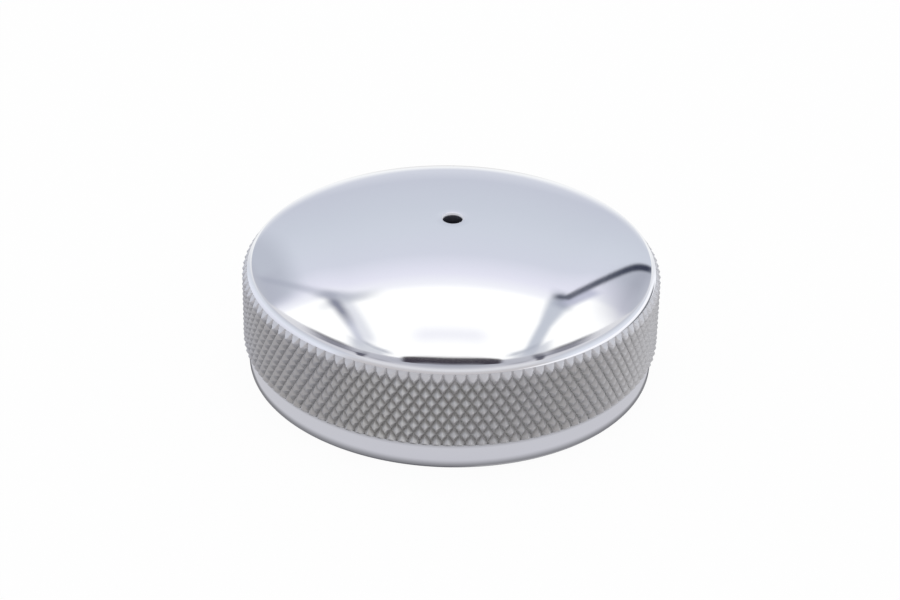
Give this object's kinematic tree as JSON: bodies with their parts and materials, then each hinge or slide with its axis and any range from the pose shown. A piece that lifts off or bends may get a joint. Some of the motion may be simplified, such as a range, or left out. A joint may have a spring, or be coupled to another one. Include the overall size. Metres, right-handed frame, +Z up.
{
  "type": "fuel cap",
  "caption": "Screw-on fuel cap in polished aluminium: domed crown with a central vent, diamond-knurled grip, tapered skirt, sealing ring and splash baffle inside.",
  "frame": {"origin": "centre of the foot, on the plane that the open mouth stands on", "axes": "+Z up along the cap's axis, from the open mouth towards the dome; the part is round, so X and Y are free"},
  "size_m": [0.07, 0.07, 0.0268],
  "materials": {
    "cap_metal": "polished",
    "baffle_sheet": "satin",
    "gasket_rubber": "matte"
  },
  "bodies": {
    "root": {"cap_body": "cap_metal", "splash_baffle": "baffle_sheet", "sealing_gasket": "gasket_rubber"}
  },
  "joints": []
}
